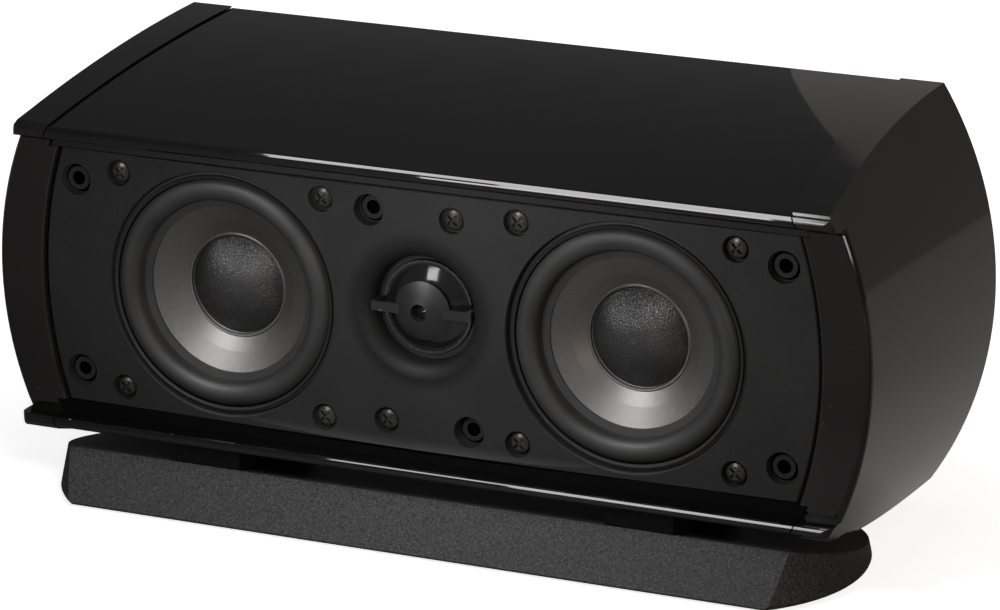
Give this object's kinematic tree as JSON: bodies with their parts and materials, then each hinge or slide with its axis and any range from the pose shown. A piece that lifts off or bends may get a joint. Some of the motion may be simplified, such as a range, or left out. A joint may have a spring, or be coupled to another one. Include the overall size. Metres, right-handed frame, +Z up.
{
  "type": "satellite speaker",
  "caption": "Horizontal satellite speaker in an arched cabinet with barrel ends, woofers either side of a dome tweeter, on a low separate base.",
  "frame": {"origin": "on the floor, under the middle of the whole object", "axes": "+X to the right as seen from the front, +Y to the back, +Z up; the drivers face -Y"},
  "size_m": [0.3324, 0.1312, 0.1531],
  "materials": {
    "gloss_black": "gloss black lacquer",
    "fibreboard": "raw fibreboard",
    "satin_black": "satin black foil on board",
    "satin_plastic": "satin black",
    "baffle_grey": "fine matt texture, dark grey",
    "foam": "closed cell foam",
    "frame_black": "satin black",
    "rubber_black": "matt rubber",
    "cone_silver": "silver grey, satin",
    "cap_black": "black, fine grain",
    "copper": "enamelled wire",
    "spider_cloth": "treated cloth",
    "plated_steel": "zinc plated",
    "ferrite": "sintered ferrite",
    "dome_black": "glossy black",
    "ring_metal": "bright turned edge",
    "plug_satin": "satin black",
    "screw_black": "black oxide",
    "socket_black": "matt black",
    "screw_steel": "zinc plated",
    "circuit_board": "solder resist",
    "capacitor_blue": "shrink sleeve",
    "ceramic": "cement body",
    "cup_black": "fine matt texture",
    "post_red": "gloss red",
    "post_black": "gloss black",
    "brass": "nickel free brass",
    "wadding": "polyester fleece",
    "base_charcoal": "charcoal, fine speckle",
    "pad_black": "matt rubber",
    "foot_rubber": "matt rubber"
  },
  "bodies": {
    "root": {"top_panel": "gloss_black", "bottom_panel": "gloss_black", "side_wall_left": "fibreboard", "side_wall_right": "fibreboard", "rear_panel": "satin_black", "end_cap_left": "satin_plastic", "end_cap_right": "satin_plastic", "baffle": "baffle_grey", "sub_baffle": "fibreboard", "baffle_gasket": "foam", "woofer_frame_left": "frame_black", "woofer_frame_right": "frame_black", "woofer_surround_left": "rubber_black", "woofer_surround_right": "rubber_black", "woofer_cone_left": "cone_silver", "woofer_cone_right": "cone_silver", "dust_cap_left": "cap_black", "dust_cap_right": "cap_black", "woofer_coil_left": "copper", "woofer_coil_right": "copper", "woofer_spider_left": "spider_cloth", "woofer_spider_right": "spider_cloth", "woofer_top_plate_left": "plated_steel", "woofer_top_plate_right": "plated_steel", "woofer_magnet_left": "ferrite", "woofer_magnet_right": "ferrite", "woofer_yoke_left": "plated_steel", "woofer_yoke_right": "plated_steel", "tweeter_housing": "frame_black", "tweeter_dome": "dome_black", "tweeter_ring": "ring_metal", "tweeter_plug": "plug_satin", "tweeter_coil": "copper", "tweeter_magnet": "plated_steel", "woofer_screws": "screw_black", "tweeter_screws": "screw_black", "grille_sockets": "socket_black", "cap_screws": "screw_steel", "crossover_board": "circuit_board", "crossover_coils": "copper", "crossover_capacitors": "capacitor_blue", "crossover_resistor": "ceramic", "terminal_cup": "cup_black", "cup_screws": "screw_black", "post_red": "post_red", "post_black": "post_black", "post_nuts": "brass", "wadding_top": "wadding", "wadding_bottom": "wadding", "base": "base_charcoal", "base_pads": "pad_black", "base_screws": "screw_steel", "base_feet": "foot_rubber"}
  },
  "joints": []
}
